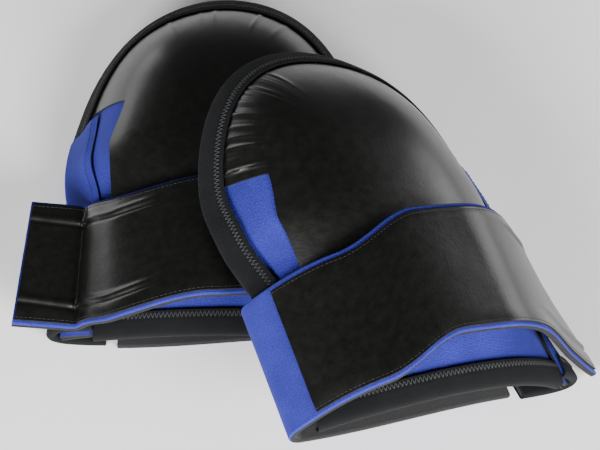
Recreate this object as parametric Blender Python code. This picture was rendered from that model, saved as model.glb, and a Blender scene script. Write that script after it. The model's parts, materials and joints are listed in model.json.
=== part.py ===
"""A pair of soft strap-on knee pads, lying on their backs with the knee domes up.

Each pad is a padded neoprene shell: a black lining inside, a foam knee dome, a blue neoprene
body over it and a glossy black vinyl cover on top. Black tape binds the rim and the foot edge.
A blue wing is sewn to one side. From it a wide neoprene strap runs flat behind the leg, folds
round the other side and crosses over the front below the knee, where it carries a vinyl panel
and, inside, a hook strip. Just past the crown of the front the strap peels up as a flap, whose
free end bends at a crease. The strap is one band, made in sections that meet where it bends.

Metres, Z up. In a pad's own frame +Y runs from foot to thigh, +Z out of the knee, and X across;
the wing is on -X and the strap folds on +X for the right pad, and the left pad is its mirror.
"""

import math

import bmesh
import bpy
from mathutils import Euler, Vector

# ---- driving dimensions of one pad ------------------------------------------------------------
PAD_LENGTH = 0.272
WIDEST_Y = 0.135
HALF_WIDTH_DOME = 0.104
HALF_WIDTH_WAIST = 0.091
HALF_WIDTH_FOOT = 0.097
WAIST_SHARE = 0.55
DOME_HEIGHT = 0.075
RIM_Z_STRAP = 0.0166
RIM_Z_SIDE = 0.0092
RIM_DROP_START_Y = 0.135
RIM_DROP_END_Y = 0.180
RIM_Z_THIGH = 0.034
EDGE_POWER_DOME = 2.60
EDGE_POWER_FOOT = 2.00
DOME_SQUARENESS = 1.15
FOOT_RISE_POWER = 1.8

GAP = 0.0004
BODY_THICKNESS = 0.0030
LINING_THICKNESS = 0.0009
VINYL_THICKNESS = 0.0011
FOAM_EDGE = 0.0006
FOAM_CENTRE = 0.0200
FOAM_FOOT_TAPER = 1.08

FOOT_BINDING_WIDTH = 0.0095
BINDING_THICKNESS = 0.0011
TAPE_SLACK = 0.0014

WING_THICKNESS = 0.0028
WING_CLEARANCE_FOOT = 0.0030
WING_CLEARANCE_TOP = 0.0012
WING_COLUMNS = (-0.62, -0.70, -0.78, -0.86, -0.93)
WING_UNDER_STEPS = 6
WING_BULGE_FOOT = 0.0086
WING_BULGE_TOP = 0.0010
WING_DROP_SHARE = 0.5
WING_FLOOR_Z = 0.0018
WING_FLOOR_REACH = 0.0300
WING_FOOT_Y = 0.0020
WING_TOP_SETBACK = 0.0040
WING_BINDING_WIDTH = 0.0090

STRAP_THICKNESS = 0.0050
STRAP_WIDTH = 0.0940
STRAP_FLAT_END_X = 0.1015
STRAP_JOIN_STATION = -0.5
STRAP_JOIN_GAP = 0.0012
STRAP_FOLD_INNER_RADIUS = 0.0075
STRAP_FOLD_END_ANGLE = math.radians(25.0)
STRAP_MARGIN = 0.0050
STRAP_CREASE_GAP = 0.0008
STRAP_PEEL_GAP = 0.0004
FALL_HANDLE = 0.38
TAB_LENGTH = 0.0420
TAB_PANEL_INSET = 0.0020
TAB_HOOK_INSET = 0.0080
HOOK_WIDTH = 0.0520
HOOK_THICKNESS = 0.0016

# ---- how finely the curved pieces are divided -------------------------------------------------
COLUMNS = 16
ROWS_FOOT = 7
ROWS_DOME = 9
GRID_REACH = 0.93
TAPE_REACH = 0.68
NOTCH_COLUMNS = 3
NOTCH_TOP_ROW = ROWS_FOOT + 2
VINYL_FIRST_ROW = 3
FOAM_MARGIN_CELLS = 1
WING_TOP_ROW = ROWS_FOOT + 2
FOOT_BINDING_FIRST_COLUMN = 3
FOLD_STEPS = 8
CLIMB_STEPS = 9
FALL_STEPS = 9
PEEL_STEP = 12
PANEL_FIRST_STEP = 1
PANEL_END_SHARE = 0.25
HOOK_FIRST_STEP = 1
HOOK_LAST_STEP = 4
BACK_STEPS = 4
STRAP_ROWS = 4
TAB_STEPS = 3
NORMAL_STEP = 0.004
LEAN_ONSET = 1.6

PAD_ORIGIN = Vector((0.0, 0.0, 0.0))

# ---- what differs between the two pads as they lie --------------------------------------------
PADS = {
    "right": {
        "hand": 1.0,
        "location": Vector((-0.0681, -0.0835, 0.0)),
        "rotation": Euler((0.0, 0.0, 0.0), "XYZ"),
        "foot_arch": 0.027,
        "lean": 0.045,
        "peak_shift": 0.016,
        "strap_line": ((-0.0860, -0.0045), (-0.0580, -0.0115), (0.0100, -0.0015),
                       (0.1000, 0.0093)),
        "back_line": ((-0.0600, 0.0000), (0.1000, 0.0093)),
        "climb_handle": 0.380,
        "apex": Vector((0.018, 0.0785)),
        "crease": Vector((-0.0835, 0.0372)),
        "twist": Vector((0.0026, 0.0050)),
        "crease_direction": math.radians(238.0),
        "tab_direction": math.radians(171.0),
        "tab_thigh_direction": math.radians(171.0),
        "tab_thigh_length": 0.0375,
    },
    "left": {
        "hand": -1.0,
        "location": Vector((0.0860, -0.1512, 0.0334)),
        "rotation": Euler((0.056, 0.3683, 0.36), "XYZ"),
        "foot_arch": 0.039,
        "lean": 0.080,
        "peak_shift": -0.018,
        "strap_line": ((-0.1220, 0.0045), (-0.0550, 0.0155), (0.0100, 0.0170),
                       (0.0700, -0.0030)),
        "back_line": ((-0.0600, 0.0045), (0.1000, -0.0030)),
        "climb_handle": 0.46,
        "apex": Vector((-0.022, 0.0830)),
        "crease": Vector((-0.0900, 0.0430)),
        "twist": Vector((0.0130, 0.0110)),
        "crease_direction": math.radians(222.0),
        "tab_direction": math.radians(218.0),
        "tab_thigh_direction": math.radians(235.0),
        "tab_thigh_length": 0.0300,
    },
}

# ---- colours: base colour, roughness, metallic ------------------------------------------------
LOOKS = {
    "vinyl": ((0.006, 0.006, 0.005, 1.0), 0.22, 0.0),
    "neoprene": ((0.036, 0.060, 0.350, 1.0), 0.85, 0.0),
    "lining": ((0.010, 0.010, 0.011, 1.0), 0.95, 0.0),
    "binding": ((0.008, 0.009, 0.010, 1.0), 0.80, 0.0),
    "foam": ((0.050, 0.050, 0.052, 1.0), 0.95, 0.0),
    "hook": ((0.012, 0.012, 0.012, 1.0), 0.90, 0.0),
}


# ---- scene helpers ----------------------------------------------------------------------------
def clear_scene():
    """Remove every object already in the scene."""
    for item in list(bpy.data.objects):
        bpy.data.objects.remove(item, do_unlink=True)


def material_for(node_name, look):
    """Make a plain Principled material for one node."""
    colour, roughness, metallic = LOOKS[look]
    material = bpy.data.materials.new(node_name + "_" + look)
    material.use_nodes = True
    shader = material.node_tree.nodes["Principled BSDF"]
    shader.inputs["Base Color"].default_value = colour
    shader.inputs["Roughness"].default_value = roughness
    shader.inputs["Metallic"].default_value = metallic
    material.diffuse_color = colour
    return material


def empty_at(name, parent, location, rotation=None):
    """Add an empty that carries a group of pieces."""
    holder = bpy.data.objects.new(name, None)
    holder.empty_display_size = 0.02
    bpy.context.scene.collection.objects.link(holder)
    holder.parent = parent
    holder.location = location
    if rotation is not None:
        holder.rotation_euler = rotation
    return holder


def object_from(bm, name, look, parent, origin):
    """Turn a bmesh in pad coordinates into a named object standing at its origin."""
    bmesh.ops.recalc_face_normals(bm, faces=bm.faces)
    bmesh.ops.translate(bm, verts=bm.verts, vec=-origin)
    for face in bm.faces:
        face.smooth = True
    mesh = bpy.data.meshes.new(name)
    bm.to_mesh(mesh)
    bm.free()
    mesh.set_sharp_from_angle(angle=math.radians(40.0))
    mesh.materials.append(material_for(name, look))
    piece = bpy.data.objects.new(name, mesh)
    bpy.context.scene.collection.objects.link(piece)
    piece.parent = parent
    return piece


def smooth_step(value):
    """Ease from 0 to 1 for a value running from 0 to 1."""
    clamped = min(max(value, 0.0), 1.0)
    return clamped * clamped * (3.0 - 2.0 * clamped)


def mirrored(point, pad):
    """Carry a point of the right-hand pattern to this pad's own hand."""
    return Vector((point.x * pad["hand"], point.y, point.z))


# ---- the outer face of the neoprene body ------------------------------------------------------
def half_width(foot_share):
    """Half the body's width; foot_share runs from 0 at the widest line to 1 at the foot edge."""
    to_waist = smooth_step(foot_share / WAIST_SHARE)
    to_foot = smooth_step((foot_share - WAIST_SHARE) / (1.0 - WAIST_SHARE))
    width = HALF_WIDTH_DOME + (HALF_WIDTH_WAIST - HALF_WIDTH_DOME) * to_waist
    return width + (HALF_WIDTH_FOOT - HALF_WIDTH_WAIST) * to_foot


def bell(cosine, power, squareness):
    """Height of the dome's section from 0 at the edge to 1 on the crown.

    A higher power gives a flatter flange at the edge, more squareness a broader crown.
    """
    return cosine ** power * (1.0 + squareness * (1.0 - cosine * cosine))


def body_point(pad, across, along):
    """Point on the body's outer face; across and along both run from -1 to 1."""
    side = math.sin(across * math.pi / 2.0)
    hollow = math.cos(across * math.pi / 2.0)
    foot_share = max(-along, 0.0)
    if along < 0.0:
        x_plan = side * half_width(foot_share)
        y_plan = WIDEST_Y * (1.0 + along)
        thigh_drop = 1.0
    else:
        reach = math.sin(along * math.pi / 2.0)
        x_plan = HALF_WIDTH_DOME * side * math.sqrt(1.0 - reach * reach / 2.0)
        y_plan = WIDEST_Y + (PAD_LENGTH - WIDEST_Y) * reach * math.sqrt(1.0 - side * side / 2.0)
        thigh_drop = bell(math.cos(along * math.pi / 2.0), EDGE_POWER_DOME, DOME_SQUARENESS)
    rim_rise = smooth_step((y_plan - WIDEST_Y) / (PAD_LENGTH - WIDEST_Y))
    rim_drop = smooth_step((y_plan - RIM_DROP_START_Y) / (RIM_DROP_END_Y - RIM_DROP_START_Y))
    side_z = RIM_Z_STRAP + (RIM_Z_SIDE - RIM_Z_STRAP) * rim_drop
    rim_z = side_z + (RIM_Z_THIGH - side_z) * rim_rise
    foot_rise = 1.0 - (1.0 - min(y_plan / WIDEST_Y, 1.0)) ** FOOT_RISE_POWER
    crown = pad["foot_arch"] + (DOME_HEIGHT - pad["foot_arch"]) * foot_rise
    to_foot = smooth_step(foot_share)
    power = EDGE_POWER_DOME + (EDGE_POWER_FOOT - EDGE_POWER_DOME) * to_foot
    fullness = bell(hollow, power, DOME_SQUARENESS * (1.0 - to_foot)) * thigh_drop
    lean = pad["lean"] * y_plan
    shift = pad["peak_shift"] * fullness * smooth_step(foot_share * LEAN_ONSET)
    return Vector((x_plan + lean + shift, y_plan, rim_z + (crown - rim_z) * fullness))


def body_normal(pad, across, along):
    """Outward normal of the body's outer face."""
    right = body_point(pad, across + NORMAL_STEP, along)
    left = body_point(pad, across - NORMAL_STEP, along)
    ahead = body_point(pad, across, along + NORMAL_STEP)
    behind = body_point(pad, across, along - NORMAL_STEP)
    du = right - left
    dv = ahead - behind
    return du.cross(dv).normalized()


def grid_parameters():
    """Parameter values of the grid that every layer of the shell shares.

    The outermost cell on each side is as wide as the tape that binds it.
    """
    middle = COLUMNS - 2
    columns = [-TAPE_REACH + 2.0 * TAPE_REACH * i / middle for i in range(middle + 1)]
    columns = [-GRID_REACH] + columns + [GRID_REACH]
    first = -1.0 + FOOT_BINDING_WIDTH / WIDEST_Y
    rows = [-1.0] + [first - first * j / (ROWS_FOOT - 1) for j in range(ROWS_FOOT - 1)]
    rows += [TAPE_REACH * j / (ROWS_DOME - 1) for j in range(ROWS_DOME)] + [GRID_REACH]
    return columns, rows


def foam_thickness(across, along):
    """Thickness of the knee foam: full under the knee and thin towards the edges."""
    side = max(1.0 - (across / TAPE_REACH) ** 2, 0.0)
    if along < 0.0:
        end = 1.0 - smooth_step(-along * FOAM_FOOT_TAPER)
    else:
        end = max(1.0 - (along / TAPE_REACH) ** 2, 0.0)
    return FOAM_EDGE + (FOAM_CENTRE - FOAM_EDGE) * side * end


def layer_grid(pad, depth_of):
    """Grid of points at a depth below the body's outer face; depth_of gives the depth."""
    columns, rows = grid_parameters()
    grid = []
    for along in rows:
        line = []
        for across in columns:
            depth = depth_of(across, along)
            normal = body_normal(pad, across, along)
            line.append(mirrored(body_point(pad, across, along) - normal * depth, pad))
        grid.append(line)
    return grid


def shell_between(outer, inner, keep_cell):
    """Closed solid between two grids, made of the cells that keep_cell picks."""
    bm = bmesh.new()
    corners = {}

    def corner(layer, row, column):
        key = (layer, row, column)
        if key not in corners:
            source = outer if layer == 0 else inner
            corners[key] = bm.verts.new(source[row][column])
        return corners[key]

    cells = set()
    for row in range(len(outer) - 1):
        for column in range(len(outer[0]) - 1):
            if keep_cell(row, column):
                cells.add((row, column))
    for row, column in cells:
        ring = [(row, column), (row, column + 1), (row + 1, column + 1), (row + 1, column)]
        for layer in (0, 1):
            bm.faces.new([corner(layer, r, c) for r, c in ring])
        neighbours = [(row - 1, column), (row, column + 1), (row + 1, column), (row, column - 1)]
        for side, neighbour in enumerate(neighbours):
            if neighbour in cells:
                continue
            first = ring[side]
            second = ring[(side + 1) % 4]
            wall = [corner(0, *first), corner(0, *second), corner(1, *second), corner(1, *first)]
            bm.faces.new(wall)
    return bm


# ---- the four layers of the padded shell ------------------------------------------------------
BODY_INNER = BODY_THICKNESS
FOAM_TOP = BODY_INNER + GAP


def foam_bottom(across, along):
    """Depth of the underside of the foam."""
    return FOAM_TOP + foam_thickness(across, along)


def lining_top(across, along):
    """Depth of the lining's foam side."""
    return foam_bottom(across, along) + GAP


def lining_bottom(across, along):
    """Depth of the lining's leg side."""
    return lining_top(across, along) + LINING_THICKNESS


def in_body(row, column):
    """Every cell, for the body and the lining."""
    return True


def in_vinyl(row, column):
    """Cells the vinyl covers: all of the dome but a cut-out at each lower side."""
    if row >= NOTCH_TOP_ROW:
        return True
    inside = NOTCH_COLUMNS <= column < COLUMNS - NOTCH_COLUMNS
    return inside and row >= VINYL_FIRST_ROW


def in_foam(row, column):
    """Cells the foam fills: everything but a margin for the bindings."""
    across = FOAM_MARGIN_CELLS <= column < COLUMNS - FOAM_MARGIN_CELLS
    along = FOAM_MARGIN_CELLS <= row < ROWS_FOOT + ROWS_DOME - FOAM_MARGIN_CELLS
    return across and along


def build_shell(name, pad, holder):
    """Lining, foam core, neoprene body and vinyl cover."""
    face = layer_grid(pad, lambda across, along: 0.0)
    body_in = layer_grid(pad, lambda across, along: BODY_INNER)
    foam_out = layer_grid(pad, lambda across, along: FOAM_TOP)
    foam_in = layer_grid(pad, foam_bottom)
    lining_out = layer_grid(pad, lining_top)
    lining_in = layer_grid(pad, lining_bottom)
    vinyl_in = layer_grid(pad, lambda across, along: -GAP)
    vinyl_out = layer_grid(pad, lambda across, along: -GAP - VINYL_THICKNESS)
    body = shell_between(face, body_in, in_body)
    object_from(body, name + "_body", "neoprene", holder, PAD_ORIGIN)
    foam = shell_between(foam_out, foam_in, in_foam)
    object_from(foam, name + "_foam_core", "foam", holder, PAD_ORIGIN)
    lining = shell_between(lining_out, lining_in, in_body)
    object_from(lining, name + "_lining", "lining", holder, PAD_ORIGIN)
    vinyl = shell_between(vinyl_out, vinyl_in, in_vinyl)
    object_from(vinyl, name + "_vinyl_cover", "vinyl", holder, PAD_ORIGIN)


# ---- binding tape -----------------------------------------------------------------------------
def tape_ring(outer_edge, outer_inside, inner_edge, inner_inside, standoff):
    """Eight corners of the folded tape at one station.

    Each argument but the last is a point of the bound layers with its outward normal: on the
    outer and inner faces, at the edge and one cell inside it. standoff clears the outer face.
    """
    corners = []
    for edge, inside, near, far in (
        (outer_edge, outer_inside, standoff, standoff + BINDING_THICKNESS),
        (inner_edge, inner_inside, -TAPE_SLACK, -TAPE_SLACK - BINDING_THICKNESS),
    ):
        beyond = (edge[0] - inside[0]).normalized()
        corners.append([
            inside[0] + inside[1] * near,
            inside[0] + inside[1] * far,
            edge[0] + edge[1] * far + beyond * (TAPE_SLACK + BINDING_THICKNESS),
            edge[0] + edge[1] * near + beyond * TAPE_SLACK,
        ])
    over, under = corners
    return [over[0], over[1], over[2], under[2], under[1], under[0], under[3], over[3]]


def shell_tape(pad, across, along, across_inside, along_inside):
    """Tape ring round the padded shell's edge at one grid station."""
    faces = []
    for place in ((across, along), (across_inside, along_inside)):
        normal = body_normal(pad, *place)
        surface = body_point(pad, *place)
        faces.append((surface, normal))
        faces.append((surface - normal * lining_bottom(*place), normal))
    standoff = GAP + VINYL_THICKNESS + TAPE_SLACK
    ring = tape_ring(faces[0], faces[2], faces[1], faces[3], standoff)
    return [mirrored(corner, pad) for corner in ring]


def loft(sections):
    """Closed solid through a run of equal closed sections, capped at both ends."""
    bm = bmesh.new()
    rings = [[bm.verts.new(point) for point in section] for section in sections]
    count = len(sections[0])
    for ring, following in zip(rings, rings[1:]):
        for k in range(count):
            after = (k + 1) % count
            bm.faces.new([ring[k], ring[after], following[after], following[k]])
    bm.faces.new(rings[0])
    bm.faces.new(rings[-1])
    return bm


def build_rim_binding(name, pad, holder):
    """Tape from the end of the wing seam, over the thigh end and down the folding side."""
    columns, rows = grid_parameters()
    stations = [(columns[0], along, columns[1], along) for along in rows[WING_TOP_ROW:-1]]
    stations.append((columns[0], rows[-1], columns[1], rows[-2]))
    stations += [(across, rows[-1], across, rows[-2]) for across in columns[1:-1]]
    stations.append((columns[-1], rows[-1], columns[-2], rows[-2]))
    stations += [(columns[-1], along, columns[-2], along) for along in reversed(rows[2:-1])]
    sections = [shell_tape(pad, *station) for station in stations]
    object_from(loft(sections), name + "_rim_binding", "binding", holder, PAD_ORIGIN)


def build_foot_binding(name, pad, holder):
    """Tape along the arched foot edge."""
    columns, rows = grid_parameters()
    bound = columns[FOOT_BINDING_FIRST_COLUMN:]
    sections = [shell_tape(pad, across, rows[0], across, rows[1]) for across in bound]
    object_from(loft(sections), name + "_foot_binding", "binding", holder, PAD_ORIGIN)


# ---- side wing --------------------------------------------------------------------------------
def wing_path(pad, along):
    """Inner face of the wing at one station: down the body's side, then in under its edge."""
    foot_share = smooth_step(-along)
    clearance = WING_CLEARANCE_TOP + (WING_CLEARANCE_FOOT - WING_CLEARANCE_TOP) * foot_share
    bulge = WING_BULGE_TOP + (WING_BULGE_FOOT - WING_BULGE_TOP) * foot_share
    points = []
    for across in WING_COLUMNS:
        normal = body_normal(pad, across, along)
        points.append(body_point(pad, across, along) + normal * clearance)
    edge = points[-1]
    floor_z = WING_FLOOR_Z + WING_THICKNESS
    drop_z = edge.z + (floor_z - edge.z) * WING_DROP_SHARE
    drop = Vector((edge.x - bulge, edge.y, drop_z))
    corner = Vector((edge.x - bulge, edge.y, floor_z))
    finish = Vector((edge.x + WING_FLOOR_REACH, edge.y, floor_z))
    return points + bezier(edge, drop, corner, finish, WING_UNDER_STEPS)[1:]


def wing_normals(path):
    """Directions out of the wing, square to its path in the XZ plane."""
    normals = []
    for k in range(len(path)):
        run = path[min(k + 1, len(path) - 1)] - path[max(k - 1, 0)]
        normals.append(Vector((run.z, 0.0, -run.x)).normalized())
    return normals


def strip_solid(pad, inner_rows, outer_rows):
    """Closed solid between two faces given as rows of points in the right-hand pattern."""
    inner = [[mirrored(point, pad) for point in row] for row in inner_rows]
    outer = [[mirrored(point, pad) for point in row] for row in outer_rows]
    return shell_between(outer, inner, in_body)


def build_wing(name, pad, holder):
    """Blue wing on the side the strap is sewn to, and the tape on its foot edge."""
    rows = grid_parameters()[1]
    foot = (WING_FOOT_Y - WIDEST_Y) / WIDEST_Y
    bound = foot + WING_BINDING_WIDTH / WIDEST_Y
    stations = [foot, bound] + rows[2:WING_TOP_ROW + 1]
    inner = []
    outer = []
    normals = []
    for along in stations:
        path = wing_path(pad, along)
        if along == stations[-1]:
            path = [point - Vector((0.0, WING_TOP_SETBACK, 0.0)) for point in path]
        inner.append(path)
        normals.append(wing_normals(path))
        outer.append([p + n * WING_THICKNESS for p, n in zip(path, normals[-1])])
    wing = strip_solid(pad, inner, outer)
    object_from(wing, name + "_side_wing", "neoprene", holder, PAD_ORIGIN)

    sections = []
    for k in range(len(inner[0])):
        faces = [(grid[row][k], normals[row][k]) for grid in (outer, inner) for row in (0, 1)]
        ring = tape_ring(*faces, GAP)
        sections.append([mirrored(corner, pad) for corner in ring])
    object_from(loft(sections), name + "_wing_binding", "binding", holder, PAD_ORIGIN)


# ---- strap ------------------------------------------------------------------------------------
def heading(angle):
    """Unit vector in the XZ plane, as a pair."""
    return Vector((math.cos(angle), math.sin(angle)))


def bezier(start, start_handle, end_handle, end, steps):
    """Points of a cubic curve."""
    points = []
    for step in range(steps + 1):
        share = step / steps
        rest = 1.0 - share
        near = start * rest ** 3 + start_handle * 3.0 * rest * rest * share
        points.append(near + end_handle * 3.0 * rest * share * share + end * share ** 3)
    return points


def fold_face(radius):
    """One face of the strap's fold: an arc from under the leg to the start of the front."""
    centre = Vector((STRAP_FLAT_END_X, STRAP_THICKNESS + STRAP_FOLD_INNER_RADIUS))
    sweep = STRAP_FOLD_END_ANGLE + math.pi / 2.0
    angles = [-math.pi / 2.0 + sweep * step / FOLD_STEPS for step in range(FOLD_STEPS + 1)]
    return [centre + heading(angle) * radius for angle in angles]


def front_path(pad):
    """Outer face of the strap over the front, from the fold's end to the crease, as XZ pairs."""
    start = fold_face(STRAP_FOLD_INNER_RADIUS + STRAP_THICKNESS)[-1]
    leaving = heading(STRAP_FOLD_END_ANGLE + math.pi / 2.0)
    arriving = heading(pad["crease_direction"])
    apex = pad["apex"]
    crease = pad["crease"]
    climb_handle = (start - apex).length * pad["climb_handle"]
    fall_handle = (crease - apex).length * FALL_HANDLE
    level = Vector((1.0, 0.0))
    start = start + leaving * GAP
    end = crease - arriving * STRAP_CREASE_GAP
    climb = bezier(start, start + leaving * climb_handle, apex + level * climb_handle, apex,
                   CLIMB_STEPS)
    fall = bezier(apex, apex - level * fall_handle, end - arriving * fall_handle, end, FALL_STEPS)
    return climb + fall[1:]


def split_front(path):
    """The part of the front that stays on the pad, the flap, and the line it peels about."""
    before, at, after = path[PEEL_STEP - 1:PEEL_STEP + 2]
    stay = path[:PEEL_STEP] + [at + (before - at).normalized() * STRAP_PEEL_GAP]
    flap = [at + (after - at).normalized() * STRAP_PEEL_GAP] + path[PEEL_STEP + 1:]
    run = (after - before).normalized()
    return stay, flap, at + Vector((run.y, -run.x)) * (GAP + VINYL_THICKNESS)


def twisted(pad, path, share):
    """Path of the flap at a share of the strap's width: its thigh edge hugs the pad closer."""
    last = len(path) - 1
    return [point + pad["twist"] * (share * smooth_step(step / last))
            for step, point in enumerate(path)]


def tab_frame(pad, share):
    """Crease point and direction of the strap's free end at a share of the strap's width."""
    turn = (pad["tab_thigh_direction"] - pad["tab_direction"]) * share
    return pad["crease"] + pad["twist"] * share, heading(pad["tab_direction"] + turn)


def tab_path(pad, share, distances):
    """Points of the free end's outer face at foot-edge distances from the crease, as XZ pairs."""
    crease, along = tab_frame(pad, share)
    shorter = 1.0 + (pad["tab_thigh_length"] / TAB_LENGTH - 1.0) * share
    return [crease + along * distance * shorter for distance in distances]


def offset_path(path, distance):
    """The same path moved sideways; positive distances move it towards the leg."""
    runs = [after - before for before, after in zip(path, path[2:])]
    if runs:
        first = path[1] * 4.0 - path[0] * 3.0 - path[2]
        last = path[-1] * 3.0 - path[-2] * 4.0 + path[-3]
        runs = [first] + runs + [last]
    else:
        runs = [path[1] - path[0]] * 2
    return [point + Vector((-run.y, run.x)).normalized() * distance
            for point, run in zip(path, runs)]


def strap_y(line, x, from_foot_edge):
    """Y of a point of the strap at a distance from its foot edge, which sways along a line."""
    x = min(max(x, line[0][0]), line[-1][0])
    for (low_x, low_y), (high_x, high_y) in zip(line, line[1:]):
        if x <= high_x:
            break
    sway = smooth_step((x - low_x) / (high_x - low_x))
    return low_y + (high_y - low_y) * sway + from_foot_edge


def strap_piece(pad, line, path_at, top, bottom, low, high, rows):
    """Closed solid along paths of the strap's outer face, one for each share of its width.

    line is where the foot edge runs, top and bottom are depths towards the leg, and low and
    high are distances from the foot edge.
    """
    outer = []
    inner = []
    for row in range(rows + 1):
        out = low + (high - low) * row / rows
        path = path_at(out / STRAP_WIDTH)
        top_path = offset_path(path, top)
        bottom_path = offset_path(path, bottom)
        ys = [strap_y(line, point.x, out) for point in path]
        outer.append([Vector((p.x, y, p.y)) for p, y in zip(top_path, ys)])
        inner.append([Vector((p.x, y, p.y)) for p, y in zip(bottom_path, ys)])
    return strip_solid(pad, inner, outer)


def strap_section(pad, path, suffixes, hooks=None, panel=None, line=None):
    """One section of the strap as (suffix, look, bmesh) triples: neoprene, panel and hooks."""
    panel_top = -GAP - VINYL_THICKNESS
    panel_high = STRAP_WIDTH - STRAP_MARGIN
    hook_low = (STRAP_WIDTH - HOOK_WIDTH) / 2.0
    hook_high = (STRAP_WIDTH + HOOK_WIDTH) / 2.0
    hook_top = STRAP_THICKNESS + GAP
    hook_bottom = hook_top + HOOK_THICKNESS
    layers = [("neoprene", path, 0.0, STRAP_THICKNESS, 0.0, STRAP_WIDTH, STRAP_ROWS)]
    if panel:
        layers.append(("vinyl", panel, panel_top, -GAP, STRAP_MARGIN, panel_high, STRAP_ROWS))
    if hooks:
        layers.append(("hook", hooks, hook_top, hook_bottom, hook_low, hook_high, 1))
    section = []
    line = line or pad["strap_line"]
    for suffix, (look, run, top, bottom, low, high, rows) in zip(suffixes, layers):
        section.append((suffix, look, strap_piece(pad, line, run, top, bottom, low, high, rows)))
    return section


def build_strap(name, pad, holder):
    """The strap's sections: back, fold and front on the pad, then the flap and its free end."""
    wing_end = wing_path(pad, STRAP_JOIN_STATION)[-1].x + STRAP_JOIN_GAP
    flat_end = STRAP_FLAT_END_X - GAP
    flat = [Vector((wing_end + (flat_end - wing_end) * k / BACK_STEPS, 0.0))
            for k in range(BACK_STEPS + 1)]
    arc = fold_face(STRAP_FOLD_INNER_RADIUS + STRAP_THICKNESS)
    front, flap, peel_line = split_front(front_path(pad))
    tab = [STRAP_CREASE_GAP + TAB_LENGTH * step / TAB_STEPS for step in range(TAB_STEPS + 1)]

    peel = mirrored(Vector((peel_line.x, 0.0, peel_line.y)), pad)
    flap_empty = empty_at(name + "_strap_peel", holder, peel)
    crease_y = strap_y(pad["strap_line"], pad["crease"].x, 0.0)
    crease = mirrored(Vector((pad["crease"].x, crease_y, pad["crease"].y)), pad)
    tab_empty = empty_at(name + "_tab_crease", flap_empty, crease - peel)

    tab_panel = [tab[0] + TAB_PANEL_INSET] + tab[1:-1] + [tab[-1] - STRAP_MARGIN]
    tab_hooks = [tab[0] + TAB_HOOK_INSET] + tab_panel[1:]

    def flap_panel_at(share):
        path = twisted(pad, flap, share)
        return path[:-1] + [path[-1].lerp(path[-2], PANEL_END_SHARE)]

    flap_names = ("_strap_flap", "_flap_panel", "_flap_hook_strip")
    tab_names = ("_strap_tab", "_tab_panel", "_tab_hook_strip")
    groups = [
        (holder, PAD_ORIGIN,
         strap_section(pad, lambda share: flat, ("_strap_back",), line=pad["back_line"])),
        (holder, PAD_ORIGIN, strap_section(pad, lambda share: arc, ("_strap_fold",))),
        (holder, PAD_ORIGIN,
         strap_section(pad, lambda share: front, ("_strap_front", "_front_panel"),
                       panel=lambda share: front[PANEL_FIRST_STEP:])),
        (flap_empty, peel,
         strap_section(pad, lambda share: twisted(pad, flap, share), flap_names,
                       lambda share: twisted(pad, flap, share)[HOOK_FIRST_STEP:HOOK_LAST_STEP + 1],
                       flap_panel_at)),
        (tab_empty, crease,
         strap_section(pad, lambda share: tab_path(pad, share, tab), tab_names,
                       lambda share: tab_path(pad, share, tab_hooks),
                       lambda share: tab_path(pad, share, tab_panel))),
    ]
    for parent, origin, section in groups:
        for suffix, look, solid in section:
            object_from(solid, name + suffix, look, parent, origin)


# ---- the pair ---------------------------------------------------------------------------------
def build_pair():
    """Both pads, each under its own empty."""
    clear_scene()
    for name, pad in PADS.items():
        holder = empty_at(name + "_pad", None, pad["location"], pad["rotation"])
        build_shell(name, pad, holder)
        build_rim_binding(name, pad, holder)
        build_foot_binding(name, pad, holder)
        build_wing(name, pad, holder)
        build_strap(name, pad, holder)


build_pair()
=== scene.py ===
"""Looks for a pair of soft strap-on knee pads: detailed shells, tapes, straps and stitching.

Every piece is made in the right-hand pad's own pattern, in metres, then mirrored for the left
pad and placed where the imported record's joints say that each pad lies.
"""

import json
import math

import bmesh
import bpy
import numpy as np
from mathutils import Euler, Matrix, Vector

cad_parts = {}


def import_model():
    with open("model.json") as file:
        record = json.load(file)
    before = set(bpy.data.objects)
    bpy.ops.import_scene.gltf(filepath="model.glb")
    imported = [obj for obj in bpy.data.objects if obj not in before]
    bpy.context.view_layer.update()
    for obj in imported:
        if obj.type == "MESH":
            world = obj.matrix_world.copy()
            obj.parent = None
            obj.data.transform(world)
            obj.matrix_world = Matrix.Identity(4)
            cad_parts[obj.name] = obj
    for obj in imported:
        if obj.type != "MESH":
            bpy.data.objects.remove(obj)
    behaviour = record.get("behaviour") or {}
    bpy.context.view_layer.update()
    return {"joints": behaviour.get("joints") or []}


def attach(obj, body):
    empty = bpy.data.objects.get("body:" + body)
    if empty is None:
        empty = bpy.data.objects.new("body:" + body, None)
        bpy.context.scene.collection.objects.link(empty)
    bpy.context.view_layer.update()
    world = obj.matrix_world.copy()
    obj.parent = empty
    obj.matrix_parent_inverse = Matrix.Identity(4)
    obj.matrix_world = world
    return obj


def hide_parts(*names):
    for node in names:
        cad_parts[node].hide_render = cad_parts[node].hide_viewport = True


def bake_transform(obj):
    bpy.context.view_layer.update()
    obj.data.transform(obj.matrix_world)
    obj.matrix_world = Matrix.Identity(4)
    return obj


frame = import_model()

# ---- the pad's pattern, as the CAD has it -----------------------------------------------------
PAD_LENGTH = 0.272
WIDEST_Y = 0.135
HALF_WIDTH_DOME = 0.104
HALF_WIDTH_WAIST = 0.091
HALF_WIDTH_FOOT = 0.097
WAIST_SHARE = 0.55
DOME_HEIGHT = 0.075
RIM_Z_STRAP = 0.0166
RIM_Z_SIDE = 0.0092
RIM_DROP_START_Y = 0.135
RIM_DROP_END_Y = 0.180
RIM_Z_THIGH = 0.034
EDGE_POWER_DOME = 2.60
EDGE_POWER_FOOT = 2.00
DOME_SQUARENESS = 1.15
FOOT_RISE_POWER = 1.8
LEAN_ONSET = 1.6
OUTLINE = 0.994

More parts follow.
